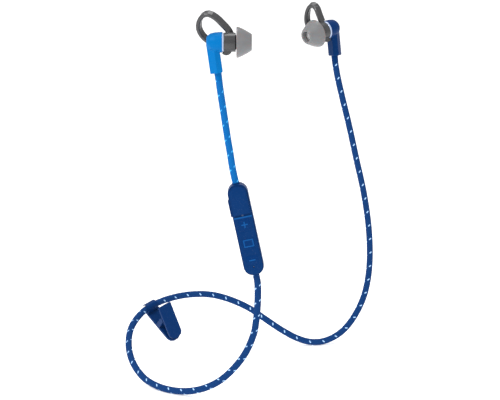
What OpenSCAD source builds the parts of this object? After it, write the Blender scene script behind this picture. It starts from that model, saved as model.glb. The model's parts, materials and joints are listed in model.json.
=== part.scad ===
// In-ear sport earphones on one braided cord, with an inline control pod and a shirt clip.
// Millimetres, +Z up. The origin is the middle of the left ear tip, with +X into the left ear.

/* [Cord] */
// Diameter of the round braided cord
cord_d = 3.7; // [2.8:0.1:3.7]

/* [Earbud] */
// Largest diameter of the soft ear tip
tip_d = 16; // [13:0.2:16.4]
// Length of the soft ear tip along the nozzle
tip_l = 8; // [7:0.2:8]
// Outside diameter of the nozzle
nozzle_d = 5.2; // [4.8:0.1:5.2]
// Diameter of the round head of the housing
head_d = 10.8; // [10.6:0.1:11.2]
// How far the stem reaches below the nozzle
stem_l = 16; // [15:0.5:16]
// Lean of the stem towards the nozzle, in degrees
stem_lean = 8; // [6:1:9]
// Width of the stabiliser's band
band_w = 4.2; // [3.4:0.1:4.4]
// Thickness of the stabiliser's band
band_t = 2.2; // [1.8:0.1:2.4]

/* [Control pod] */
// Length of the pod
pod_l = 50; // [50:0.5:52]
// Width of the pod across its keys
pod_w = 10.8; // [10.6:0.1:11.4]
// Thickness of the pod from front to back
pod_t = 8; // [8:0.1:8.4]
// Wall of the pod's shells
pod_wall = 1; // [0.9:0.1:1]
// Travel of each key
key_travel = 0.3; // [0.2:0.05:0.3]

/* [Clip] */
// Width of the clip along the cord
clip_w = 9; // [8.6:0.2:10]
// Reach of the clip's jaws below the cord
clip_l = 24; // [23:0.5:26]

/* [Hidden] */
$fn = 48;
eps = 0.01;
fit_gap = 0.05;

light_blue = [0, 0.5, 0.92];
dark_blue = [0.05, 0.2, 0.5];
grey = [0.3, 0.3, 0.31];
tip_grey = [0.55, 0.55, 0.56];
pale = [0.75, 0.8, 0.88];
steel = [0.7, 0.7, 0.72];
green = [0.1, 0.35, 0.2];

// Places and turns of the four assemblies
right_bud_at = [38, 105, -13];
right_bud_roll = -12;
right_bud_yaw = 218;
pod_at = [0.8, -2, -99];
pod_tilt = -12;
clip_at = [-53.2, 63.9, -162.1];
clip_turn = [-49, -13, 44];

// Routes of the two cords, from exit to exit, under their own weight
left_route = [[-13.1, 0, -19.8], [-12.8, 0, -22.5], [-12.4, 0, -25.5], [-11.9, 0, -29], [-11.3, -0.1, -33],
    [-10.7, -0.3, -37], [-10.1, -0.5, -41], [-9.5, -0.7, -45], [-8.9, -0.9, -49], [-8.3, -1.1, -53],
    [-7.6, -1.3, -57], [-6.9, -1.6, -61.5], [-6.2, -1.8, -66], [-5.4, -2, -70], [-4.5, -2, -74]];
main_route = [[6.1, -2, -124], [7, -2.2, -128.5], [7.2, -3.5, -135], [6.9, -5, -142], [6.2, -6.5, -149],
    [4.8, -8, -156], [0.5, -10, -165.5], [-6, -11, -174], [-13.5, -10.5, -181], [-22, -8, -186],
    [-30.5, -4, -189], [-39.5, 0.8, -190.1], [-48, 7, -189.7], [-55.5, 14.5, -187.5],
    [-61.5, 24, -182.5], [-64.5, 35.5, -176.5], [-63.8, 47.5, -170], [-58.5, 58, -164.5],
    [-51, 66, -161.5], [-42.5, 73.5, -160.3], [-32, 79.5, -160], [-20.5, 84, -161.3],
    [-9.5, 86.5, -164.8], [2, 87, -170.2], [11, 85.5, -176], [21, 83.5, -182.4], [30.5, 82.5, -187.4],
    [39.5, 83, -189.9], [48.5, 85.2, -189.2], [57.5, 88.8, -184.6], [65, 93, -175.8],
    [70.5, 96.5, -163.5], [73, 99.5, -147.5], [72.5, 102, -127.5], [69.5, 104.5, -106.5],
    [65, 107.5, -86.5], [60.5, 110.3, -66.5], [56.5, 112.2, -50.5], [53.8, 113, -39],
    [52.2, 113.1, -30.2]];

// Middle lines of the two stabilisers' soft loops, in the frame of their earbud
left_loop = [[-6.3, 0.6, 2.6], [-8.1, 1.2, 6.2], [-11.2, 1.8, 9.5], [-14.5, 2.4, 12.6], [-18.3, 3.2, 14.4],
    [-21.4, 4.2, 13.3], [-23.2, 5.2, 10.1], [-23.4, 6.2, 6.3], [-21.7, 7.2, 2.7], [-19, 7.9, 0],
    [-15.2, 8, -1.7], [-11.6, 6.9, -2.3], [-8.4, 5, -2], [-6.6, 3.6, -1.5]];
right_loop = [[-9.3, 0.9, -0.1], [-9.9, 0.4, 3.3], [-9.9, -0.6, 6.6], [-10.1, -1.8, 10.1], [-10.5, -3.2, 13.3],
    [-10.4, -5.8, 15.2], [-9.6, -8.5, 14.3], [-8.7, -10.2, 11.1], [-7.9, -10.8, 7.5], [-7.6, -10.3, 4],
    [-8.3, -8.5, 1.3], [-9.1, -5.6, -0.1], [-9.5, -2.5, -0.4]];
// The way each loop's band lies broad
left_broad = [0.38, 0.82, 0.43];
right_broad = [-0.9, -0.19, 0.39];

// Measures along the nozzle axis of an earbud, in its own frame
tip_front = tip_l / 2;
head_back = -19.6;
head_front = -11.4;
trim_l = 0.8;
body_r = 4.2;
body_front = -4.5;
sleeve_back = -10.5;
sleeve_front = -4.4;
cavity_r = 4.5;
stem_x = -15.9;
relief_l = 4;
relief_r = 2;
lumen_r = 1.8;

// Measures of the pod, in its own frame
grommet_r = 2.1;
grommet_out = 0.6;
block_z = 9;
block_h = 0.7;
plus_z = 3.2;
centre_z = -7.1;
minus_z = -16.6;
mark_h = 0.2;
key_w = 6.4;
key_gap = 0.12;
cap_t = 1.4 - key_travel;
flange_t = 0.35;
board_y = -1.9;
board_t = 0.8;
mic_z = -20.4;
port_z = 12.2;
port_y = 0.2;
port_w = 7.6;
port_h = 3;
cover_w = 8.6;
cover_top = 16.6;

// Measures of the clip, in its own frame
barrel_r = 2.8;
bore_r = 2.2;
pin_r = 0.8;
pin_y = -4.5;
pin_z = -12;

function lerp4(a, b, c, d, t) =
    0.5 * (2 * b + (c - a) * t + (2 * a - 5 * b + 4 * c - d) * t * t + (3 * b - a - 3 * c + d) * t * t * t);

function smooth_route(p, steps) = let (n = len(p)) concat(
    [for (i = [0 : n - 2]) for (k = [0 : steps - 1])
        lerp4(p[max(i - 1, 0)], p[i], p[i + 1], p[min(i + 2, n - 1)], k / steps)],
    [p[n - 1]]);

function unit(v) = v / norm(v);

function rounded_box(w, h, r, n = 8) = [for (c = [[1, 1, 0], [-1, 1, 90], [-1, -1, 180], [1, -1, 270]])
    for (k = [0 : n]) let (a = c[2] + 90 * k / n)
        [c[0] * (w / 2 - r) + r * cos(a), c[1] * (h / 2 - r) + r * sin(a)]];

// An outline of 8 corners swept along a route, its second axis towards broad, closed flat at both ends
module swept(p, outline, broad) {
    sides = 8;
    n = len(p);
    rings = [for (i = [0 : n - 1])
        let (t = unit(p[min(i + 1, n - 1)] - p[max(i - 1, 0)]),
            side = unit(cross(t, broad)),
            up = cross(side, t))
        [for (q = outline) p[i] + q[0] * side + q[1] * up]];
    points = [for (ring = rings) for (q = ring) q];
    walls = [for (i = [0 : n - 2]) for (k = [0 : sides - 1])
        let (a = i * sides + k, b = i * sides + (k + 1) % sides)
        each [[a, b, b + sides], [a, b + sides, a + sides]]];
    first = [for (k = [sides - 1 : -1 : 0]) k];
    last = [for (k = [0 : sides - 1]) (n - 1) * sides + k];
    polyhedron(points = points, faces = concat(walls, [first, last]));
}

module swept_cord(p) {
    swept(p, [for (k = [0 : 7]) cord_d / 2 * [cos(45 * k + 22.5), sin(45 * k + 22.5)]], [0.3, 0.9, 0.1]);
}

module place_bud(side) {
    if (side == "left") children();
    else translate(right_bud_at) rotate([0, right_bud_roll, 0]) rotate([0, 0, right_bud_yaw]) children();
}

module place_pod() {
    translate(pod_at) rotate([0, pod_tilt, 0]) children();
}

module place_clip() {
    translate(clip_at) rotate(clip_turn) children();
}

// A profile of [x, radius] points turned about the nozzle axis
module turned(profile) {
    rotate([0, 90, 0]) rotate_extrude() polygon([for (q = profile) [q[1], q[0]]]);
}

module along_x(x0, x1, r) {
    translate([x0, 0, 0]) rotate([0, 90, 0]) cylinder(h = x1 - x0, r = r);
}

module in_stem() {
    translate([stem_x, 0, 0]) rotate([0, -stem_lean, 0]) children();
}

module housing(side) {
    head_r = head_d / 2;
    stem_back = 3.9;
    stem_front = 2.6;
    ridge = 3.6;
    foot_slant = -12;
    color(side == "left" ? light_blue : dark_blue) place_bud(side) difference() {
        union() {
            turned([[head_back, 0], [head_back, 2.4], [head_back + 0.6, 3.4], [head_back + 2.1, 4.6],
                [head_back + 4.6, head_r - 0.25], [head_front, head_r], [head_front, 0]]);
            in_stem() translate([0, 0, -stem_l]) linear_extrude(stem_l)
                polygon([[-stem_back, -1.7], [-0.2, -ridge], [stem_front, -2.4], [stem_front, 2.4],
                    [-0.2, ridge], [-stem_back, 1.7]]);
        }
        along_x(head_back + 1.4, head_front + 1, cavity_r - 1.1);
        along_x(-15.5, head_front + 1, cavity_r);
        in_stem() translate([0, 0, -stem_l - 1]) cylinder(h = stem_l - 2, r = relief_r);
        in_stem() translate([0, 0, -stem_l - 0.3]) rotate([0, foot_slant, 0]) translate([-8, -8, -6]) cube([16, 16, 6]);
    }
}

module trim_ring(side) {
    color(pale) place_bud(side) turned([[head_front, cavity_r], [head_front, head_d / 2 - 0.15],
        [head_front + trim_l, head_d / 2 - 0.45], [head_front + trim_l, cavity_r]]);
}

module front_housing(side) {
    nozzle_r = nozzle_d / 2;
    color(grey) place_bud(side) turned([[-12.6, 3.6], [-12.6, cavity_r - fit_gap],
        [head_front + trim_l, cavity_r - fit_gap], [head_front + trim_l, body_r], [body_front, body_r],
        [body_front + 0.6, nozzle_r + 0.6], [body_front + 0.6, nozzle_r], [2, nozzle_r], [2, lumen_r],
        [body_front, lumen_r], [-7.6, 3.6]]);
}

module nozzle_mesh(side) {
    color(steel) place_bud(side) along_x(1.5, 1.8, lumen_r - 0.02);
}

module driver_basket(side) {
    color(steel) place_bud(side) turned([[-15.3, 2.7], [-15.3, 4.3], [-12.7, 4.3], [-12.7, 3.9],
        [-14.6, 3.9], [-14.6, 2.7]]);
}

module driver_magnet(side) {
    color([0.2, 0.2, 0.22]) place_bud(side) along_x(-16.4, -14.7, 2.6);
}

module voice_coil(side) {
    color([0.75, 0.4, 0.2]) place_bud(side) turned([[-14.5, 2.1], [-14.5, 2.4], [-13.3, 2.4], [-13.3, 2.1]]);
}

module diaphragm(side) {
    color([0.8, 0.78, 0.7]) place_bud(side) turned([[-13.2, 0], [-13.2, 3.8], [-13, 3.8], [-13, 2.4], [-12.7, 0]]);
}

// A band with cut corners along the route of a loop
module loop_band(p, broad) {
    t = band_t / 2;
    w = band_w / 2;
    cut = 0.5;
    swept(smooth_route(p, 2), [[t, cut - w], [t, w - cut], [t - cut, w], [cut - t, w], [-t, w - cut],
        [-t, cut - w], [cut - t, -w], [t - cut, -w]], broad);
}

module stabiliser(side) {
    sleeve_r = 5;
    color(grey) place_bud(side) difference() {
        union() {
            along_x(sleeve_back, sleeve_front, sleeve_r);
            translate([-9.2, 0, -3.6]) rotate([90, 0, 0]) cylinder(h = 5, r = 2.9, center = true);
            if (side == "left") loop_band(left_loop, left_broad);
            else loop_band(right_loop, right_broad);
        }
        along_x(-14, -2, body_r + fit_gap);
        along_x(-22, sleeve_back, head_d / 2 + 0.3);
    }
}

module ear_tip(side) {
    bore = nozzle_d / 2 + fit_gap;
    rim_r = tip_d / 2;
    color(tip_grey) place_bud(side) turned([[-tip_front + 0.2, bore], [-tip_front + 0.2, bore + 0.9],
        [1.6, bore + 1.1], [-tip_front + 0.6, rim_r - 0.7], [-tip_front, rim_r - 0.3], [-tip_front, rim_r],
        [-tip_front + 0.8, rim_r], [tip_front - 1, 4.7], [tip_front - 0.2, 4.1], [tip_front, 3.6],
        [tip_front, 2.3], [2.4, bore]]);
}

module strain_relief(side) {
    color(side == "left" ? [0, 0.38, 0.75] : dark_blue) place_bud(side) in_stem()
        translate([0, 0, -stem_l - relief_l]) cylinder(h = relief_l + 4, r1 = cord_d / 2 + 0.02, r2 = relief_r);
}

module left_cord() {
    color([0, 0.45, 0.85]) swept_cord([for (i = [0 : 2 : len(left_route) - 1]) left_route[i]]);
}

module main_cord() {
    color(dark_blue) swept_cord(smooth_route(main_route, 2));
}

module pod_outline(grow) {
    polygon(rounded_box(pod_w + 2 * grow, pod_l + 2 * grow, 4.9 + grow));
}

// A slab of the pod's outline between two depths
module pod_slab(y0, y1, grow) {
    translate([0, y1, 0]) rotate([90, 0, 0]) linear_extrude(y1 - y0) pod_outline(grow);
}

module grommet_hole() {
    for (end = [-1, 1]) translate([0, 0, end * pod_l / 2]) cylinder(h = 6, r = grommet_r, center = true);
}

module port_hole() {
    translate([-pod_w / 2 - 1, port_y - port_h / 2, port_z - port_w / 2]) cube([3, port_h, port_w]);
}

module key_hole(z, h) {
    translate([-key_w / 2 - key_gap, -pod_t / 2 - 1, z - h / 2 - key_gap])
        cube([key_w + 2 * key_gap, pod_wall + 1.5, h + 2 * key_gap]);
}

module pod_front_shell() {
    face = -pod_t / 2;
    color(dark_blue) place_pod() difference() {
        union() {
            pod_slab(face + 0.7, 0, 0);
            pod_slab(face, face + 0.7, -0.6);
            intersection() {
                pod_slab(face - block_h, face + 0.1, -0.9);
                translate([-pod_w, face - 1, block_z]) cube([2 * pod_w, 2, pod_l]);
            }
        }
        pod_slab(face + pod_wall, 1, -pod_wall);
        translate([-pod_w, face - 1, block_z - 1.3]) cube([2 * pod_w, 1.4, 1.3]);
        translate([0, face - 1, block_z - 0.65]) rotate([-90, 0, 0]) cylinder(h = 3, r = 0.5);
        translate([0, face - 1, mic_z]) rotate([-90, 0, 0]) cylinder(h = 3, r = 0.4);
        key_hole(plus_z, 6);
        key_hole(centre_z, 5.2);
        key_hole(minus_z, 5.2);
        grommet_hole();
        port_hole();
    }
}

module pod_rear_shell() {
    face = pod_t / 2;
    color(dark_blue) place_pod() difference() {
        union() {
            pod_slab(0, face - 0.9, 0);
            pod_slab(face - 0.9, face, -0.8);
        }
        pod_slab(-1, face - pod_wall, -pod_wall);
        grommet_hole();
        port_hole();
    }
}

// A key cap with a wider flange behind the shell's wall and a raised mark on its face
module key(z, h) {
    face = -pod_t / 2;
    color(dark_blue) place_pod() translate([0, 0, z]) {
        translate([-key_w / 2, face, -h / 2]) cube([key_w, cap_t, h]);
        translate([-key_w / 2 - 0.4, face + cap_t - eps, -h / 2 - 0.4]) cube([key_w + 0.8, flange_t, h + 0.8]);
        children();
    }
}

module mark_bar(w, h) {
    translate([-w / 2, -pod_t / 2 - mark_h, -h / 2]) cube([w, mark_h + 0.1, h]);
}

module volume_up_key() {
    key(plus_z, 6) {
        mark_bar(3.4, 0.7);
        mark_bar(0.7, 3.4);
    }
}

module centre_key() {
    key(centre_z, 5.2) translate([-key_w / 2 + 0.5, -pod_t / 2 - mark_h, -2.1])
        cube([key_w - 1, mark_h + 0.1, 4.2]);
}

module volume_down_key() {
    key(minus_z, 5.2) mark_bar(3.4, 0.7);
}

module circuit_board() {
    color(green) place_pod() difference() {
        translate([0, board_y + board_t, 0]) rotate([90, 0, 0]) linear_extrude(board_t)
            polygon(rounded_box(8.2, 42, 2));
        for (z = [-19.5, 19.5]) translate([2.6, board_y - 1, z]) rotate([-90, 0, 0]) cylinder(h = 3, r = 0.5);
    }
}

module dome_switches() {
    color(steel) place_pod() for (z = [plus_z, centre_z, minus_z]) translate([0, board_y - 0.25, z])
        rotate([-90, 0, 0]) cylinder(h = 0.25, r1 = 1.2, r2 = 2);
}

module radio_shield() {
    color(steel) place_pod() translate([0.3, board_y + board_t, 5]) cube([3.6, 1.2, 10]);
}

module battery() {
    color([0.75, 0.75, 0.72]) place_pod() translate([0, 2.5, -9.5]) rotate([90, 0, 0]) linear_extrude(3.2)
        polygon(rounded_box(7.8, 22, 1));
}

module battery_pad() {
    color([0.15, 0.15, 0.15]) place_pod() translate([-3, 2.5, -18]) cube([6, 0.45, 17]);
}

module charging_socket() {
    color(steel) place_pod() difference() {
        translate([-4, board_y + board_t, port_z - 3.6]) cube([4, 2.6, 7.2]);
        translate([-4.5, board_y + board_t + 0.4, port_z - 3.2]) cube([3.8, 1.8, 6.4]);
    }
}

module port_cover() {
    side_x = -pod_w / 2;
    color(dark_blue) place_pod() {
        translate([side_x - 0.75, port_y - 1.9, cover_top - cover_w]) cube([0.7, 3.8, cover_w]);
        translate([side_x - 0.4, port_y + 1.9, cover_top]) rotate([90, 0, 0]) cylinder(h = 3.8, r = 0.35);
        translate([side_x - 0.1, port_y - 1, port_z - 2.6]) cube([1.1, 2, 5]);
    }
}

module microphone() {
    color(steel) place_pod() translate([-1.5, board_y - 0.8, mic_z - 0.6]) cube([3, 0.8, 1.2]);
}

module light_pipe() {
    color([0.9, 0.9, 0.95]) place_pod() translate([0, -pod_t / 2 + 0.45, block_z - 0.65])
        rotate([-90, 0, 0]) cylinder(h = 1.4, r = 0.45);
}

module grommet(end) {
    color(dark_blue) place_pod() mirror([0, 0, end < 0 ? 1 : 0]) {
        translate([0, 0, pod_l / 2 - 2.8]) cylinder(h = 2.8 + grommet_out, r = grommet_r);
        translate([0, 0, pod_l / 2 - 2.8]) cylinder(h = 1, r = grommet_r + 0.5);
    }
}

// The back jaw with the barrel that holds the cord and two ears for the pin
module clip_body() {
    ear_w = 1.2;
    color(dark_blue) place_clip() difference() {
        union() {
            along_x(-clip_w / 2, clip_w / 2 - 1.5, barrel_r);
            translate([0, barrel_r - 0.2, 0]) rotate([90, 0, 0]) linear_extrude(1.5)
                polygon([[-clip_w / 2, 0], [-clip_w / 2, -clip_l + 3], [-clip_w / 2 + 1, -clip_l + 1],
                    [-clip_w / 2 + 3, -clip_l], [clip_w / 2 - 3, -clip_l], [clip_w / 2 - 1, -clip_l + 1],
                    [clip_w / 2, -clip_l + 3], [clip_w / 2, 0]]);
            for (s = [-1, 1]) translate([s * (clip_w / 2 - ear_w / 2), 0, pin_z]) {
                rotate([0, 90, 0]) translate([0, pin_y, 0]) cylinder(h = ear_w, r = 1.4, center = true);
                translate([-ear_w / 2, pin_y, -1.4]) cube([ear_w, barrel_r - pin_y - 1, 2.8]);
            }
        }
        along_x(-clip_w, clip_w, bore_r);
        translate([-clip_w, 0, 0]) rotate([-25, 0, 0]) translate([0, -1.2, 0]) cube([2 * clip_w, 2.4, 6]);
        translate([0, pin_y, pin_z]) along_x(0.4 - clip_w / 2, clip_w / 2 - 0.4, pin_r);
    }
}

// The front jaw leans so that its foot meets the back jaw and its head stands off
module clip_jaw() {
    jaw_lean = 33;
    head_z = 7.8;
    foot_z = clip_l + pin_z;
    w = clip_w / 2 - 0.1;
    color(dark_blue) place_clip() translate([0, pin_y, pin_z]) difference() {
        union() {
            rotate([jaw_lean, 0, 0]) translate([0, -1.5, 0]) rotate([90, 0, 0]) linear_extrude(1.4)
                polygon([[-w, head_z], [-w, -foot_z + 2], [-w + 1, -foot_z + 0.4], [-w + 3, -foot_z - 0.4],
                    [w - 3, -foot_z - 0.4], [w - 1, -foot_z + 0.4], [w, -foot_z + 2], [w, head_z]]);
            for (s = [-1, 1]) translate([s * 2.3, 0, 0]) {
                rotate([0, 90, 0]) cylinder(h = 1.4, r = 1.5, center = true);
                translate([-0.7, -2.4, -1.5]) cube([1.4, 2.4, 3]);
            }
        }
        along_x(-clip_w, clip_w, pin_r + fit_gap);
    }
}

module clip_pin() {
    color(steel) place_clip() translate([0, pin_y, pin_z]) along_x(0.4 - clip_w / 2, clip_w / 2 - 0.4, pin_r - 0.01);
}

module clip_spring() {
    color(steel) place_clip() translate([0, pin_y, pin_z]) {
        difference() {
            along_x(-1.3, 1.3, 1.45);
            along_x(-2, 2, 0.95);
        }
        translate([0.7, 1.2, 0.4]) cube([0.5, barrel_r - 2.95 - pin_y, 0.5]);
    }
}

housing("left");  // left_housing
trim_ring("left");  // left_trim_ring
front_housing("left");  // left_front_housing
nozzle_mesh("left");  // left_nozzle_mesh
driver_basket("left");  // left_driver_basket
driver_magnet("left");  // left_driver_magnet
voice_coil("left");  // left_voice_coil
diaphragm("left");  // left_diaphragm
stabiliser("left");  // left_stabiliser
ear_tip("left");  // left_ear_tip
strain_relief("left");  // left_strain_relief
housing("right");  // right_housing
trim_ring("right");  // right_trim_ring
front_housing("right");  // right_front_housing
nozzle_mesh("right");  // right_nozzle_mesh
driver_basket("right");  // right_driver_basket
driver_magnet("right");  // right_driver_magnet
voice_coil("right");  // right_voice_coil
diaphragm("right");  // right_diaphragm
stabiliser("right");  // right_stabiliser
ear_tip("right");  // right_ear_tip
strain_relief("right");  // right_strain_relief
left_cord();
main_cord();
pod_front_shell();
pod_rear_shell();
volume_up_key();
centre_key();
volume_down_key();
circuit_board();
dome_switches();
radio_shield();
battery();
battery_pad();
charging_socket();
port_cover();
microphone();
light_pipe();
grommet(1);  // upper_grommet
grommet(-1);  // lower_grommet
clip_body();
clip_jaw();
clip_pin();
clip_spring();
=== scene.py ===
import bpy
import json
import math
from mathutils import Matrix, Vector


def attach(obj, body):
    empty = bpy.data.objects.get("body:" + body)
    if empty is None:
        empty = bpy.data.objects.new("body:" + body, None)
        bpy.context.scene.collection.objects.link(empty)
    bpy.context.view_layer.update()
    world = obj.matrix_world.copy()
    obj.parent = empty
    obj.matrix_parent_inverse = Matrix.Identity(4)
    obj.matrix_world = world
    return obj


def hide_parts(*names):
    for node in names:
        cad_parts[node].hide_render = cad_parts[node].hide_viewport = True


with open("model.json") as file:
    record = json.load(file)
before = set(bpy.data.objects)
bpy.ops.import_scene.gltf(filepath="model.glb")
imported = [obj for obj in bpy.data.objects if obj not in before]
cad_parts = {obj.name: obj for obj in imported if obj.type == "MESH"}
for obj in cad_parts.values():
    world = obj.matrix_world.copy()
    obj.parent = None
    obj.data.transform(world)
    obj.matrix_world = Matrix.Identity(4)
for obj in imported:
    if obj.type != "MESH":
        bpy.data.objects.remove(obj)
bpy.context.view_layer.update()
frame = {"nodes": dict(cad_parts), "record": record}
nodes = frame["nodes"]
mounts = {mount["name"]: mount for mount in frame["record"]["mounts"]}
mm = 0.001

cameraSet = {"lens": 137.2, "place": (0.003, -0.9744, 0.159), "tilt": 76.0}
stageSet = {"floorZ": -0.19205, "floorSize": 14.0, "white": (0.93, 0.93, 0.935, 1), "sky": 0.72, "glow": 0.42}
lightSet = {
    "keyLight": {"place": (-0.55, -0.5, 0.7), "size": 0.3, "power": 7.0},
    "fillLight": {"place": (0.75, -0.5, 0.4), "size": 0.5, "power": 1.2},
    "topLight": {"place": (0.0, 0.4, 1.1), "size": 0.6, "power": 4.0},
}
lightTarget = Vector((0, 0.05, -0.1))


def deselectAll():
    if bpy.context.mode != "OBJECT":
        bpy.ops.object.mode_set(mode="OBJECT")
    bpy.ops.object.select_all(action="DESELECT")


def makeActive(piece):
    deselectAll()
    piece.select_set(True)
    bpy.context.view_layer.objects.active = piece


def addCamera():
    data = bpy.data.cameras.new("viewCamera")
    data.lens = cameraSet["lens"]
    data.clip_start = 0.01
    data.clip_end = 50
    cam = bpy.data.objects.new("viewCamera", data)
    bpy.context.scene.collection.objects.link(cam)
    cam.location = cameraSet["place"]
    cam.rotation_euler = (math.radians(cameraSet["tilt"]), 0, 0)
    bpy.context.scene.camera = cam


def addAreaLight(name, place, size, power):
    data = bpy.data.lights.new(name, "AREA")
    data.shape = "DISK"
    data.size = size
    data.energy = power
    lamp = bpy.data.objects.new(name, data)
    bpy.context.scene.collection.objects.link(lamp)
    lamp.location = place
    lamp.rotation_euler = (lightTarget - Vector(place)).to_track_quat("-Z", "Y").to_euler()


def newMaterial(name):
    mat = bpy.data.materials.new(name)
    mat.use_nodes = True
    return mat, mat.node_tree, mat.node_tree.nodes["Principled BSDF"]


def addStage():
    deselectAll()
    bpy.ops.mesh.primitive_plane_add(size=stageSet["floorSize"], location=(0, 0, stageSet["floorZ"]))
    floor = bpy.context.active_object
    floor.name = "studioFloor"
    mat, _, shader = newMaterial("studioWhite")
    shader.inputs["Base Color"].default_value = stageSet["white"]
    shader.inputs["Roughness"].default_value = 0.6
    shader.inputs["Emission Color"].default_value = (1, 1, 1, 1)
    shader.inputs["Emission Strength"].default_value = stageSet["glow"]
    floor.data.materials.append(mat)
    world = bpy.data.worlds.new("studioWorld")
    bpy.context.scene.world = world
    world.use_nodes = True
    sky = world.node_tree.nodes["Background"]
    sky.inputs["Color"].default_value = (1, 1, 1, 1)
    sky.inputs["Strength"].default_value = stageSet["sky"]
    bpy.context.scene.view_settings.view_transform = "Standard"


addCamera()
addStage()
for lightName, light in lightSet.items():
    addAreaLight(lightName, **light)
print("camera and light are set")


def newGroup(name, inputs, outputs):
    group = bpy.data.node_groups.new(name, "ShaderNodeTree")
    for label, kind, value in inputs:
        socket = group.interface.new_socket(name=label, in_out="INPUT", socket_type=kind)
        socket.default_value = value
    for label, kind in outputs:
        group.interface.new_socket(name=label, in_out="OUTPUT", socket_type=kind)
    return group, group.nodes.new("NodeGroupInput"), group.nodes.new("NodeGroupOutput")


def feed(tree, socket, value):
    if isinstance(value, bpy.types.NodeSocket):
        tree.links.new(value, socket)
    elif value is not None:
        socket.default_value = value


def calc(tree, operation, a, b=None, clamp=False):
    node = tree.nodes.new("ShaderNodeMath")
    node.operation = operation
    node.use_clamp = clamp
    feed(tree, node.inputs[0], a)
    feed(tree, node.inputs[1], b)
    return node.outputs[0]


def blendColor(tree, factor, a, b, mode="MIX"):
    node = tree.nodes.new("ShaderNodeMix")
    node.data_type = "RGBA"
    node.blend_type = mode
    feed(tree, node.inputs[0], factor)
    feed(tree, node.inputs[6], a)
    feed(tree, node.inputs[7], b)
    return node.outputs[2]


def noise(tree, vector, scale, detail=3.0):
    node = tree.nodes.new("ShaderNodeTexNoise")
    feed(tree, node.inputs["Vector"], vector)
    feed(tree, node.inputs["Scale"], scale)
    node.inputs["Detail"].default_value = detail
    return node.outputs["Fac"]


def spread(tree, value, low, high, outLow, outHigh):
    node = tree.nodes.new("ShaderNodeMapRange")
    for i, part in enumerate((value, low, high, outLow, outHigh)):
        feed(tree, node.inputs[i], part)
    return node.outputs[0]


mouldedSet = {"blotches": 140.0, "shade": (0.72, 0.74, 0.78, 1), "roughSpread": (-0.06, 0.08),
              "specks": 2600.0, "speckRange": (0.66, 0.74), "dust": (0.8, 0.82, 0.85, 1)}


def makeMouldedGroup():  # moulded plastic and rubber: soft tone, fine grain and a little dust
    group, gin, gout = newGroup("mouldedSurface", [
        ("Color", "NodeSocketColor", (0.5, 0.5, 0.5, 1)), ("Tone", "NodeSocketFloat", 0.15),
        ("Grain", "NodeSocketFloat", 6000.0), ("Roughness", "NodeSocketFloat", 0.45),
        ("Dust", "NodeSocketFloat", 0.04)],
        [("Color", "NodeSocketColor"), ("Roughness", "NodeSocketFloat"), ("Height", "NodeSocketFloat")])
    place = group.nodes.new("ShaderNodeTexCoord").outputs["Object"]
    soft = noise(group, place, mouldedSet["blotches"], 2.0)
    grain = noise(group, place, gin.outputs["Grain"], 2.0)
    dots = noise(group, place, mouldedSet["specks"], 1.0)
    specks = spread(group, dots, *mouldedSet["speckRange"], 0.0, 1.0)
    darker = blendColor(group, 1.0, gin.outputs["Color"], mouldedSet["shade"], "MULTIPLY")
    toneShare = calc(group, "MULTIPLY", soft, gin.outputs["Tone"])
    toned = blendColor(group, toneShare, gin.outputs["Color"], darker)
    dusty = blendColor(group, calc(group, "MULTIPLY", specks, gin.outputs["Dust"]), toned, mouldedSet["dust"])
    rough = calc(group, "ADD", gin.outputs["Roughness"],
                 spread(group, soft, 0.3, 0.7, *mouldedSet["roughSpread"]), True)
    group.links.new(dusty, gout.inputs["Color"])
    group.links.new(rough, gout.inputs["Roughness"])
    group.links.new(grain, gout.inputs["Height"])
    return group


yarnSet = {"fibres": 7000.0, "fibreColor": (0.15, 0.45, 1, 1), "fibreHeight": 0.4,
           "paintedGapShade": (0.25, 0.3, 0.42, 1), "paintedGapShadeStrength": 0.55, "roughness": 0.78, "fleckPolish": 0.45,
           "rowWidth": 2.51, "turnLength": 8.0, "fleckLength": (0.62, 0.76), "fleckWidth": (0.24, 0.34)}


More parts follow.
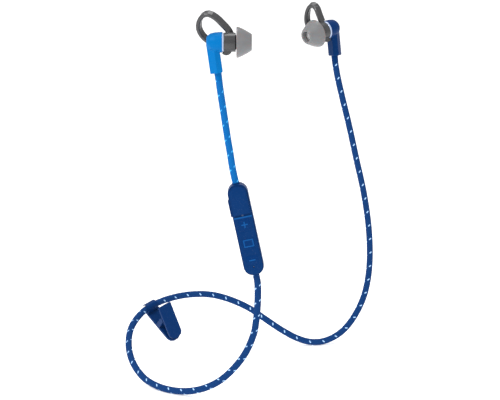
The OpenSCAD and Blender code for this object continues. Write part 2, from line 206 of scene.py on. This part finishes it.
def makeBraidGroup():  # two sets of yarns crossing, u round the cord and v along it in turns of the yarn
    group, gin, gout = newGroup("braidedYarn", [
        ("Color", "NodeSocketColor", (0.1, 0.2, 0.5, 1)),
        ("Fleck Color", "NodeSocketColor", (0.7, 0.85, 1, 1)),
        ("Yarns", "NodeSocketFloat", 8.0), ("Rows", "NodeSocketFloat", 4.0)],
        [("Color", "NodeSocketColor"), ("Height", "NodeSocketFloat"), ("Roughness", "NodeSocketFloat")])
    uv = group.nodes.new("ShaderNodeUVMap")
    uv.uv_map = "along"
    split = group.nodes.new("ShaderNodeSeparateXYZ")
    group.links.new(uv.outputs[0], split.inputs[0])
    u, v = split.outputs[0], split.outputs[1]
    yarns = gin.outputs["Yarns"]
    left = calc(group, "MULTIPLY", calc(group, "ADD", u, v), yarns)
    right = calc(group, "MULTIPLY", calc(group, "SUBTRACT", u, v), yarns)
    over = calc(group, "FLOORED_MODULO", calc(group, "ADD", calc(group, "FLOOR", left),
                                              calc(group, "FLOOR", right)), 2.0)
    humpLeft = calc(group, "ABSOLUTE", calc(group, "SINE", calc(group, "MULTIPLY", left, math.pi)))
    humpRight = calc(group, "ABSOLUTE", calc(group, "SINE", calc(group, "MULTIPLY", right, math.pi)))
    height = calc(group, "ADD", calc(group, "MULTIPLY", humpLeft, calc(group, "SUBTRACT", 1.0, over)),
                  calc(group, "MULTIPLY", humpRight, over))
    fibre = noise(group, group.nodes.new("ShaderNodeTexCoord").outputs["Object"], yarnSet["fibres"], 2.0)
    # painted shade: the low parts between the crossing yarns are darkened, for the shade that falls in the
    # gaps
    gapShadeShare = spread(group, height, 0.0, 0.75, yarnSet["paintedGapShadeStrength"], 0.0)
    shaded = blendColor(group, gapShadeShare, gin.outputs["Color"],
                        blendColor(group, 1.0, gin.outputs["Color"], yarnSet["paintedGapShade"], "MULTIPLY"))
    woolly = blendColor(group, spread(group, fibre, 0.35, 0.7, 0.0, 0.3), shaded,
                        blendColor(group, 0.12, gin.outputs["Color"], yarnSet["fibreColor"]))
    rowPlace = calc(group, "MULTIPLY", u, gin.outputs["Rows"])
    row = calc(group, "DIVIDE", calc(group, "FLOOR", rowPlace), gin.outputs["Rows"])
    across = calc(group, "MULTIPLY", calc(group, "SUBTRACT", calc(group, "FRACT", rowPlace), 0.5),
                  yarnSet["rowWidth"])
    alongRow = calc(group, "FRACT", calc(group, "SUBTRACT", v, row))
    along = calc(group, "MULTIPLY", calc(group, "SUBTRACT", alongRow, 0.5), yarnSet["turnLength"])
    lengthwise = calc(group, "MULTIPLY", calc(group, "ADD", across, along), math.sqrt(0.5))
    sideways = calc(group, "MULTIPLY", calc(group, "SUBTRACT", across, along), math.sqrt(0.5))
    inLength = spread(group, calc(group, "ABSOLUTE", lengthwise), *yarnSet["fleckLength"], 1.0, 0.0)
    inWidth = spread(group, calc(group, "ABSOLUTE", sideways), *yarnSet["fleckWidth"], 1.0, 0.0)
    fleck = calc(group, "MULTIPLY", inLength, inWidth)
    group.links.new(blendColor(group, fleck, woolly, gin.outputs["Fleck Color"]), gout.inputs["Color"])
    fuzz = calc(group, "MULTIPLY", fibre, yarnSet["fibreHeight"])
    group.links.new(calc(group, "ADD", height, fuzz), gout.inputs["Height"])
    polish = calc(group, "MULTIPLY", fleck, yarnSet["fleckPolish"])
    group.links.new(calc(group, "SUBTRACT", yarnSet["roughness"], polish), gout.inputs["Roughness"])
    return group


mouldedGroup = makeMouldedGroup()
braidGroup = makeBraidGroup()


def addBump(tree, shader, height, distance, strength=0.6):
    bump = tree.nodes.new("ShaderNodeBump")
    bump.inputs["Strength"].default_value = strength
    bump.inputs["Distance"].default_value = distance
    tree.links.new(height, bump.inputs["Height"])
    tree.links.new(bump.outputs["Normal"], shader.inputs["Normal"])


def makeMoulded(name, color, roughness, grain=6000.0, dust=0.03, bump=0.00002, mark=None, **fixed):
    mat, tree, shader = newMaterial(name)
    surface = tree.nodes.new("ShaderNodeGroup")
    surface.node_tree = mouldedGroup
    for label, value in (("Color", (*color, 1)), ("Tone", 0.35), ("Grain", grain),
                         ("Roughness", roughness), ("Dust", dust)):
        surface.inputs[label].default_value = value
    shown = surface.outputs["Color"]
    if mark:  # faces flagged by the attribute get a painted highlight, a lighter blue for light caught on raised marks and edges
        marked = tree.nodes.new("ShaderNodeAttribute")
        marked.attribute_name = "mark"
        shown = blendColor(tree, marked.outputs["Fac"], shown, (*mark, 1))
    tree.links.new(shown, shader.inputs["Base Color"])
    tree.links.new(surface.outputs["Roughness"], shader.inputs["Roughness"])
    addBump(tree, shader, surface.outputs["Height"], bump)
    for label, value in fixed.items():
        shader.inputs[label.replace("_", " ")].default_value = value
    return mat


def makeBraid(name, color, fleckColor):
    mat, tree, shader = newMaterial(name)
    yarn = tree.nodes.new("ShaderNodeGroup")
    yarn.node_tree = braidGroup
    yarn.inputs["Color"].default_value = (*color, 1)
    yarn.inputs["Fleck Color"].default_value = (*fleckColor, 1)
    tree.links.new(yarn.outputs["Color"], shader.inputs["Base Color"])
    tree.links.new(yarn.outputs["Roughness"], shader.inputs["Roughness"])
    addBump(tree, shader, yarn.outputs["Height"], 0.0001, 0.7)
    shader.inputs["Specular IOR Level"].default_value = 0.1
    return mat


def makeMetal(name, color, roughness, stretch=(1, 1, 14)):
    mat, tree, shader = newMaterial(name)
    mapping = tree.nodes.new("ShaderNodeMapping")
    mapping.inputs["Scale"].default_value = stretch
    tree.links.new(tree.nodes.new("ShaderNodeTexCoord").outputs["Object"], mapping.inputs["Vector"])
    lines = noise(tree, mapping.outputs["Vector"], 1800.0, 4.0)
    dull = blendColor(tree, 1.0, (*color, 1), (0.7, 0.7, 0.72, 1), "MULTIPLY")
    tree.links.new(blendColor(tree, lines, (*color, 1), dull), shader.inputs["Base Color"])
    brushed = spread(tree, lines, 0.3, 0.7, roughness - 0.08, roughness + 0.12)
    tree.links.new(brushed, shader.inputs["Roughness"])
    shader.inputs["Metallic"].default_value = 1.0
    addBump(tree, shader, lines, 0.00001, 0.4)
    return mat


clothSet = {"cells": 3600.0, "unevenness": 0.1, "holeEdge": (0.28, 0.4), "hole": (0.05, 0.05, 0.05, 1)}


def makeMeshCloth(name, color):  # woven steel mesh over the nozzle, its holes painted dark: painted shade for the unlit nozzle seen through them
    mat = makeMetal(name, color, 0.4)
    tree = mat.node_tree
    shader = tree.nodes["Principled BSDF"]
    cells = tree.nodes.new("ShaderNodeTexVoronoi")
    cells.inputs["Scale"].default_value = clothSet["cells"]
    cells.inputs["Randomness"].default_value = clothSet["unevenness"]
    tree.links.new(tree.nodes.new("ShaderNodeTexCoord").outputs["Object"], cells.inputs["Vector"])
    # painted shade in the holes of the mesh
    hole = spread(tree, cells.outputs["Distance"], *clothSet["holeEdge"], 1.0, 0.0)
    base = shader.inputs["Base Color"].links[0].from_socket
    tree.links.new(blendColor(tree, hole, base, clothSet["hole"]), shader.inputs["Base Color"])
    return mat


boardSet = {"scale": 420.0, "trackWidth": 0.035, "track": (0.45, 0.33, 0.12, 1),
            "resist": (0.02, 0.16, 0.07, 1), "resistLight": (0.03, 0.2, 0.09, 1),
            "resistDark": (0.02, 0.1, 0.05, 1)}


def makeBoard(name):  # solder resist with tracks and pads
    mat, tree, shader = newMaterial(name)
    place = tree.nodes.new("ShaderNodeTexCoord").outputs["Object"]
    brick = tree.nodes.new("ShaderNodeTexBrick")
    brick.inputs["Scale"].default_value = boardSet["scale"]
    brick.inputs["Mortar Size"].default_value = boardSet["trackWidth"]
    brick.inputs["Color1"].default_value = boardSet["resist"]
    brick.inputs["Color2"].default_value = boardSet["resistLight"]
    brick.inputs["Mortar"].default_value = boardSet["track"]
    tree.links.new(place, brick.inputs["Vector"])
    mottle = noise(tree, place, 900.0)
    tree.links.new(blendColor(tree, spread(tree, mottle, 0.3, 0.7, 0.0, 0.4), brick.outputs["Color"],
                              boardSet["resistDark"]), shader.inputs["Base Color"])
    tree.links.new(spread(tree, mottle, 0.3, 0.7, 0.3, 0.5), shader.inputs["Roughness"])
    return mat


lightBlue = (0.0, 0.15, 0.44)
darkBlue = (0.001, 0.025, 0.122)
# painted highlight colour, for light caught on the raised key marks and on an edge by the pod's groove
markBlue = (0.006, 0.075, 0.27)
budGrey = (0.043, 0.043, 0.045)
plasticSheen = {"Specular_IOR_Level": 0.15, "Specular_Tint": (0.3, 0.7, 1, 1)}
rubberSheen = {"Specular_IOR_Level": 0.12, "Specular_Tint": (0.3, 0.7, 1, 1)}
finish = {
    "light_blue_plastic": makeMoulded("lightBluePlastic", lightBlue, 0.36, **plasticSheen),
    "dark_blue_plastic": makeMoulded("darkBluePlastic", darkBlue, 0.36, mark=markBlue, **plasticSheen),
    "light_blue_rubber": makeMoulded("lightBlueRubber", (0.0, 0.12, 0.38), 0.5, **rubberSheen),
    "dark_blue_rubber": makeMoulded("darkBlueRubber", (0.001, 0.027, 0.13), 0.45, grain=9000.0, mark=markBlue,
                                    **rubberSheen),
    "pale_trim": makeMoulded("paleTrim", (0.42, 0.5, 0.68), 0.22, dust=0.0, Coat_Weight=0.4),
    "grey_plastic": makeMoulded("greyPlastic", budGrey, 0.4),
    "grey_silicone": makeMoulded("greySilicone", budGrey, 0.28, dust=0.05),
    "tip_silicone": makeMoulded("tipSilicone", (0.17, 0.17, 0.174), 0.4, dust=0.06, Subsurface_Weight=0.25,
                                Subsurface_Scale=0.002),
    "film": makeMoulded("diaphragmFilm", (0.62, 0.6, 0.52), 0.3, Coat_Weight=0.3),
    "foam": makeMoulded("blackFoam", (0.02, 0.02, 0.02), 0.95, grain=2500.0, bump=0.0002),
    "clear_plastic": makeMoulded("clearPlastic", (0.02, 0.07, 0.2), 0.15, dust=0.0, Coat_Weight=0.4),
    "light_blue_braid": makeBraid("lightBlueBraid", (0.0, 0.13, 0.42), (0.08, 0.5, 0.95)),
    "dark_blue_braid": makeBraid("darkBlueBraid", (0.002, 0.036, 0.155), (0.42, 0.68, 1.0)),
    "steel": makeMetal("brightSteel", (0.62, 0.62, 0.63), 0.28),
    "magnet": makeMetal("platedMagnet", (0.3, 0.3, 0.32), 0.35),
    "copper": makeMetal("enamelledCopper", (0.7, 0.3, 0.12), 0.3, (1, 1, 30)),
    "battery_foil": makeMetal("batteryFoil", (0.66, 0.66, 0.64), 0.34, (4, 1, 1)),
    "circuit_board": makeBoard("circuitBoard"),
}
meshCloth = makeMeshCloth("nozzleMesh", (0.5, 0.5, 0.5))
slotOf = {row["node"]: row["material_slot"] for row in frame["record"]["subparts"]}
bodyOf = {node: body for body, names in frame["record"]["behaviour"]["bodies"].items() for node in names}


def paint(piece, slotName):
    piece.data.materials.clear()
    piece.data.materials.append(finish[slotName])
    for face in piece.data.polygons:
        face.material_index = 0


print("materials are made")

# The cords: the routes' points, in metres, are the part's own
leftRoute = [(-13.1, 0, -19.8), (-12.8, 0, -22.5), (-12.4, 0, -25.5), (-11.9, 0, -29), (-11.3, -0.1, -33),
             (-10.7, -0.3, -37), (-10.1, -0.5, -41), (-9.5, -0.7, -45), (-8.9, -0.9, -49), (-8.3, -1.1, -53),
             (-7.6, -1.3, -57), (-6.9, -1.6, -61.5), (-6.2, -1.8, -66), (-5.4, -2, -70), (-4.5, -2, -74)]
mainRoute = [(6.1, -2, -124), (7, -2.2, -128.5), (7.2, -3.5, -135), (6.9, -5, -142), (6.2, -6.5, -149),
             (4.8, -8, -156), (0.5, -10, -165.5), (-6, -11, -174), (-13.5, -10.5, -181), (-22, -8, -186),
             (-30.5, -4, -189), (-39.5, 0.8, -190.1), (-48, 7, -189.7), (-55.5, 14.5, -187.5),
             (-61.5, 24, -182.5), (-64.5, 35.5, -176.5), (-63.8, 47.5, -170), (-58.5, 58, -164.5),
             (-51, 66, -161.5), (-42.5, 73.5, -160.3), (-32, 79.5, -160), (-20.5, 84, -161.3),
             (-9.5, 86.5, -164.8), (2, 87, -170.2), (11, 85.5, -176), (21, 83.5, -182.4),
             (30.5, 82.5, -187.4), (39.5, 83, -189.9), (48.5, 85.2, -189.2), (57.5, 88.8, -184.6),
             (65, 93, -175.8),
             (70.5, 96.5, -163.5), (73, 99.5, -147.5), (72.5, 102, -127.5), (69.5, 104.5, -106.5),
             (65, 107.5, -86.5), (60.5, 110.3, -66.5), (56.5, 112.2, -50.5), (53.8, 113, -39),
             (52.2, 113.1, -30.2)]
cordSet = {"diameter": 3.7 * mm, "sides": 32, "step": 0.25 * mm, "fineSteps": 60, "lead": 8.0 * mm,
           "yarns": 8, "relief": 0.07 * mm, "pathStride": 4, "endPlace": (0.1, 0.1)}


def smoothRoute(points, steps):
    last = len(points) - 1
    line = []
    for i in range(last):
        a, b, c, d = (points[max(i - 1, 0)], points[i], points[i + 1], points[min(i + 2, last)])
        for k in range(steps):
            t = k / steps
            line.append(0.5 * (2 * b + (c - a) * t + (2 * a - 5 * b + 4 * c - d) * t * t
                               + (3 * b - a - 3 * c + d) * t * t * t))
    return line + [points[last]]


def evenRoute(points, step):
    line = smoothRoute(points, cordSet["fineSteps"])
    reach = [0.0]
    for a, b in zip(line, line[1:]):
        reach.append(reach[-1] + (b - a).length)
    count = max(2, round(reach[-1] / step))
    even, k = [], 0
    for i in range(count + 1):
        goal = reach[-1] * i / count
        while k < len(line) - 2 and reach[k + 1] < goal:
            k += 1
        gap = reach[k + 1] - reach[k]
        even.append(line[k].lerp(line[k + 1], (goal - reach[k]) / gap))
    return even, reach[-1]


def yarnHeight(turn, along):
    left, right = cordSet["yarns"] * (turn + along), cordSet["yarns"] * (turn - along)
    over = (math.floor(left) + math.floor(right)) % 2
    return abs(math.sin(math.pi * (right if over else left)))


def braidedCord(name, route, slotName):
    points, length = evenRoute([Vector(p) * mm for p in route], cordSet["step"])
    sides, radius = cordSet["sides"], cordSet["diameter"] / 2
    verts, faces, coords = [], [], []
    side = Vector((0, 1, 0))
    for i, p in enumerate(points):
        ahead = (points[min(i + 1, len(points) - 1)] - points[max(i - 1, 0)]).normalized()
        side = (side - ahead * side.dot(ahead)).normalized()
        up = ahead.cross(side)
        along = length * i / (len(points) - 1) / cordSet["lead"]
        for k in range(sides):
            turn = 2 * math.pi * k / sides
            r = radius - cordSet["relief"] * (1 - yarnHeight(k / sides, along))
            verts.append(p + (side * math.cos(turn) + up * math.sin(turn)) * r)
    for i in range(len(points) - 1):
        for k in range(sides):
            a, b = i * sides + k, i * sides + (k + 1) % sides
            faces.append((a, b, b + sides, a + sides))
            v0, v1 = (length * j / (len(points) - 1) / cordSet["lead"] for j in (i, i + 1))
            u0, u1 = k / sides, (k + 1) / sides
            coords += [(u0, v0), (u1, v0), (u1, v1), (u0, v1)]
    faces += [tuple(range(sides - 1, -1, -1)), tuple((len(points) - 1) * sides + k for k in range(sides))]
    coords += [cordSet["endPlace"]] * (2 * sides)
    mesh = bpy.data.meshes.new(name)
    mesh.from_pydata(verts, [], faces)
    layer = mesh.uv_layers.new(name="along")
    layer.data.foreach_set("uv", [x for pair in coords for x in pair])
    mesh.polygons.foreach_set("use_smooth", [True] * len(faces))
    piece = bpy.data.objects.new(name, mesh)
    bpy.context.scene.collection.objects.link(piece)
    paint(piece, slotName)
    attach(piece, "earphones")
    return piece, points, length


for node, name, route, slotName, lay in (
        ("left_cord", "leftCordBraid", leftRoute, "light_blue_braid", "hanging"),
        ("main_cord", "mainCordBraid", mainRoute, "dark_blue_braid", "loose")):
    cord, line, length = braidedCord(name, route, slotName)
    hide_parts(node)
    print(node, "is swept,", round(length, 4), "m long")


shellSet = {"weldGap": 0.004 * mm, "flatAngle": math.radians(1.5), "sharpAngle": math.radians(35),
            "thinBevel": 0.25, "shadeAngle": math.radians(40)}


def copyOf(node, name):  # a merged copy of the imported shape, ready to be worked on
    piece = nodes[node].copy()
    piece.data = nodes[node].data.copy()
    piece.name = name
    piece.parent = None
    for key in list(piece.keys()):
        del piece[key]
    bpy.context.scene.collection.objects.link(piece)
    makeActive(piece)
    bpy.ops.object.mode_set(mode="EDIT")
    bpy.ops.mesh.select_all(action="SELECT")
    bpy.ops.mesh.remove_doubles(threshold=shellSet["weldGap"])
    bpy.ops.object.mode_set(mode="OBJECT")
    return piece


def finishPiece(piece, node):
    makeActive(piece)
    paint(piece, slotOf[node])
    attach(piece, bodyOf[node])
    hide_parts(node)
    return piece


def applyAll(piece):
    makeActive(piece)
    for modifier in list(piece.modifiers):
        bpy.ops.object.modifier_apply(modifier=modifier.name)


def meltedCopy(node, name, voxel, passes):  # all its edges run soft, as on moulded silicone
    piece = copyOf(node, name)
    remesh = piece.modifiers.new("remesh", "REMESH")
    remesh.mode = "VOXEL"
    remesh.voxel_size = voxel
    smooth = piece.modifiers.new("smooth", "SMOOTH")
    smooth.factor = 0.5
    smooth.iterations = passes
    applyAll(piece)
    bpy.ops.object.shade_smooth()
    return finishPiece(piece, node)


def weighEdges(piece, thin):  # full bevel on sharp edges, a part of it where thin() says so
    mesh = piece.data
    sides = {}
    for face in mesh.polygons:
        for key in face.edge_keys:
            sides.setdefault(key, []).append(face.normal)
    weights = mesh.attributes.new("bevel_weight_edge", "FLOAT", "EDGE")
    for edge in mesh.edges:
        pair = sides[edge.key]
        if len(pair) == 2 and pair[0].dot(pair[1]) < math.cos(shellSet["sharpAngle"]):
            middle = (mesh.vertices[edge.vertices[0]].co + mesh.vertices[edge.vertices[1]].co) / 2
            weights.data[edge.index].value = shellSet["thinBevel"] if thin and thin(middle) else 1.0


def bevelledCopy(node, name, width, segments=2, thin=None, cuts=()):
    piece = copyOf(node, name)
    bpy.ops.object.mode_set(mode="EDIT")
    bpy.ops.mesh.select_all(action="SELECT")
    bpy.ops.mesh.dissolve_limited(angle_limit=shellSet["flatAngle"])
    for point, normal in cuts:
        bpy.ops.mesh.select_all(action="SELECT")
        bpy.ops.mesh.bisect(plane_co=point, plane_no=normal)
    bpy.ops.object.mode_set(mode="OBJECT")
    weighEdges(piece, thin)
    bevel = piece.modifiers.new("bevel", "BEVEL")
    bevel.width = width
    bevel.segments = segments
    bevel.limit_method = "WEIGHT"
    bevel.use_clamp_overlap = True
    applyAll(piece)
    bpy.ops.object.shade_smooth_by_angle(angle=shellSet["shadeAngle"])
    return finishPiece(piece, node)


spinSet = {"weldGap": 0.005 * mm, "shadeAngle": math.radians(50)}


def spunPiece(name, profile, steps, place, closed=True):  # an outline turned about the nozzle's axis
    mesh = bpy.data.meshes.new(name)
    count = len(profile)
    edges = [(i, (i + 1) % count) for i in range(count if closed else count - 1)]
    mesh.from_pydata([(x, 0, r) for x, r in profile], edges, [])
    piece = bpy.data.objects.new(name, mesh)
    bpy.context.scene.collection.objects.link(piece)
    makeActive(piece)
    bpy.ops.object.mode_set(mode="EDIT")
    bpy.ops.mesh.select_all(action="SELECT")
    bpy.ops.mesh.spin(steps=steps, angle=2 * math.pi, center=(0, 0, 0), axis=(1, 0, 0))
    bpy.ops.mesh.select_all(action="SELECT")
    bpy.ops.mesh.remove_doubles(threshold=spinSet["weldGap"])
    bpy.ops.mesh.normals_make_consistent(inside=False)
    bpy.ops.object.mode_set(mode="OBJECT")
    piece.data.transform(place)
    bpy.ops.object.shade_smooth_by_angle(angle=spinSet["shadeAngle"])
    return piece


def roundedOutline(points, cut, steps=4):  # each corner of a closed outline becomes a small curve
    outline = []
    for i, p in enumerate(points):
        before, after = Vector(points[i - 1]), Vector(points[(i + 1) % len(points)])
        corner = Vector(p)
        a = corner + (before - corner).normalized() * min(cut, (before - corner).length * 0.45)
        b = corner + (after - corner).normalized() * min(cut, (after - corner).length * 0.45)
        for k in range(steps + 1):
            t = k / steps
            q = a * (1 - t) ** 2 + corner * 2 * t * (1 - t) + b * t * t
            outline.append((q.x * mm, q.y * mm))
    return outline


rightBud = {"roll": -12.0, "yaw": 218.0}
rightPlace = (Matrix.Translation(mounts["right_ear"]["pos_m"])
              @ Matrix.Rotation(math.radians(rightBud["roll"]), 4, "Y")
              @ Matrix.Rotation(math.radians(rightBud["yaw"]), 4, "Z"))
budPlace = {"left": Matrix.Identity(4), "right": rightPlace}
tipSet = {"steps": 72, "rim": 8.0, "front": 4.0, "bore": 2.66, "rounding": 0.5}
meshSet = {"steps": 48, "back": 2.02, "crown": 2.3, "edge": 2.5}
budSet = {"housingVoxel": 0.16 * mm, "softVoxel": 0.14 * mm, "softPasses": 7, "frontBevel": 0.15 * mm,
          "ringBevel": 0.1 * mm, "reliefBevel": 0.2 * mm}


def makeEarTip(side):
    rim, front, bore = tipSet["rim"], tipSet["front"], tipSet["bore"]
    outline = roundedOutline([
        (-3.8, bore), (-3.8, 3.5), (0.9, 3.75), (0.2, 4.6), (-1.6, 6.5), (-3.5, 7.35), (-front, 7.6),
        (-front, rim), (-3.2, rim), (-0.9, 7.1), (1.2, 5.95), (3.2, 4.75), (3.9, 4.25), (front, 3.9),
        (front, 3.05), (2.3, bore + 0.05), (1.8, bore)], tipSet["rounding"])
    tip = spunPiece(side + "EarTipSoft", outline, tipSet["steps"], budPlace[side])
    return finishPiece(tip, side + "_ear_tip")


def makeNozzleMesh(side):  # a shallow dome of mesh across the nozzle's end
    back, crown, edge = meshSet["back"], meshSet["crown"], meshSet["edge"]
    outline = [(crown, 0), (2.27, 1.2), (2.18, 2.1), (2.06, edge), (back, edge - 0.05), (back, 0)]
    dome = spunPiece(side + "NozzleDome", [(x * mm, r * mm) for x, r in outline], meshSet["steps"],
                     budPlace[side], closed=False)
    finishPiece(dome, side + "_nozzle_mesh")
    dome.data.materials.clear()
    dome.data.materials.append(meshCloth)


for side in ("left", "right"):
    makeEarTip(side)
    makeNozzleMesh(side)
    meltedCopy(side + "_housing", side + "HousingShell", budSet["housingVoxel"], budSet["softPasses"])
    meltedCopy(side + "_stabiliser", side + "StabiliserSoft", budSet["softVoxel"], budSet["softPasses"])
    bevelledCopy(side + "_front_housing", side + "FrontHousingShell", budSet["frontBevel"])
    bevelledCopy(side + "_trim_ring", side + "TrimRingPale", budSet["ringBevel"], 3)
    bevelledCopy(side + "_strain_relief", side + "StrainReliefSleeve", budSet["reliefBevel"], 3)
print("earbuds are made")

podSet = {"middle": Vector((0.8, -2, -99)) * mm, "lean": -12.0, "frontBevel": 0.3 * mm, "rearBevel": 0.4 * mm,
          "coverBevel": 0.2 * mm, "grommetBevel": 0.2 * mm,
          "ridge": (6.9 * mm, 7.4 * mm), "ridgeTop": 7.75 * mm, "frontFace": -3.7 * mm,
          "holeHalfWidth": 3.6 * mm, "holesFrom": -22 * mm, "holesTo": 6.5 * mm}
podPlace = Matrix.Translation(podSet["middle"]) @ Matrix.Rotation(math.radians(podSet["lean"]), 4, "Y")
inPod = podPlace.inverted()
keySet = {"grow": 0.1 * mm, "frame": 0.55 * mm, "frameDepth": 0.15 * mm, "bevel": 0.05 * mm,
          "markFace": -4.1 * mm, "growFrom": -2.95 * mm, "halfWidth": 2.9 * mm, "halfHeight": 2.4 * mm,
          "middles": {"volume_up_key": 3.2 * mm, "centre_key": -7.1 * mm, "volume_down_key": -16.6 * mm}}


def nearKeys(place):  # the edges of the holes that the keys stand in
    p = inPod @ place
    return abs(p.x) < podSet["holeHalfWidth"] and podSet["holesFrom"] < p.z < podSet["holesTo"]


# painted highlight: the faces that wanted() picks are flagged to take the lighter blue
def markFaces(piece, wanted):
    marks = piece.data.attributes.new("mark", "FLOAT", "FACE")
    for face in piece.data.polygons:
        marks.data[face.index].value = 1.0 if wanted(inPod @ face.center) else 0.0


def onKeyTop(p):
    return p.y < keySet["markFace"]


def onPaintedHighlightBand(p):
    return podSet["ridge"][0] < p.z < podSet["ridgeTop"] and p.y < podSet["frontFace"]


def frameKey(cap):  # the centre key's raised square becomes a low frame
    makeActive(cap)
    face = max((f for f in cap.data.polygons if onKeyTop(inPod @ f.center)), key=lambda f: f.area)
    for other in cap.data.polygons:
        other.select = other.index == face.index
    for edge in cap.data.edges:
        edge.select = False
    bpy.ops.object.mode_set(mode="EDIT")
    bpy.ops.mesh.select_mode(type="FACE")
    bpy.ops.mesh.inset(thickness=keySet["frame"])
    bpy.ops.transform.translate(value=podPlace.to_3x3() @ Vector((0, keySet["frameDepth"], 0)))
    bpy.ops.object.mode_set(mode="OBJECT")


def grown(value, middle, half):  # moved outwards when it stands past the half size
    out = value - middle
    return value + math.copysign(keySet["grow"], out) * (abs(out) > half)


def makeKey(node):  # the cap fills its hole, so only a hairline shows round it
    cap = bevelledCopy(node, node + "Cap", keySet["bevel"])
    if node == "centre_key":
        frameKey(cap)
    # the raised marks and frame on the key top get a painted highlight
    markFaces(cap, onKeyTop)
    for vertex in cap.data.vertices:
        p = inPod @ vertex.co
        if p.y < keySet["growFrom"]:
            p.x = grown(p.x, 0.0, keySet["halfWidth"])
            p.z = grown(p.z, keySet["middles"][node], keySet["halfHeight"])
            vertex.co = podPlace @ p


podUp = podPlace.to_3x3() @ Vector((0, 0, 1))
# painted highlight: a narrow band across the front shell by the groove is cut out and painted lighter, for
# the edge there lit from above
ridgeCuts = [(podPlace @ Vector((0, 0, z)), podUp) for z in podSet["ridge"]]
frontShell = bevelledCopy("pod_front_shell", "podFrontShell", podSet["frontBevel"], 3, nearKeys, ridgeCuts)
markFaces(frontShell, onPaintedHighlightBand)
bevelledCopy("pod_rear_shell", "podRearShell", podSet["rearBevel"], 3)
for node in keySet["middles"]:
    makeKey(node)
bevelledCopy("port_cover", "portCoverFlap", podSet["coverBevel"], 3)
bevelledCopy("upper_grommet", "upperGrommetRubber", podSet["grommetBevel"], 3)
bevelledCopy("lower_grommet", "lowerGrommetRubber", podSet["grommetBevel"], 3)
print("pod is made")

clipSet = {"voxel": 0.14 * mm, "passes": 4}
meltedCopy("clip_body", "clipBodyShell", clipSet["voxel"], clipSet["passes"])
meltedCopy("clip_jaw", "clipJawShell", clipSet["voxel"], clipSet["passes"])
print("clip is made")

for name, node in nodes.items():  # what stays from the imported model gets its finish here
    paint(node, slotOf[name])
print("packed nodes are painted")
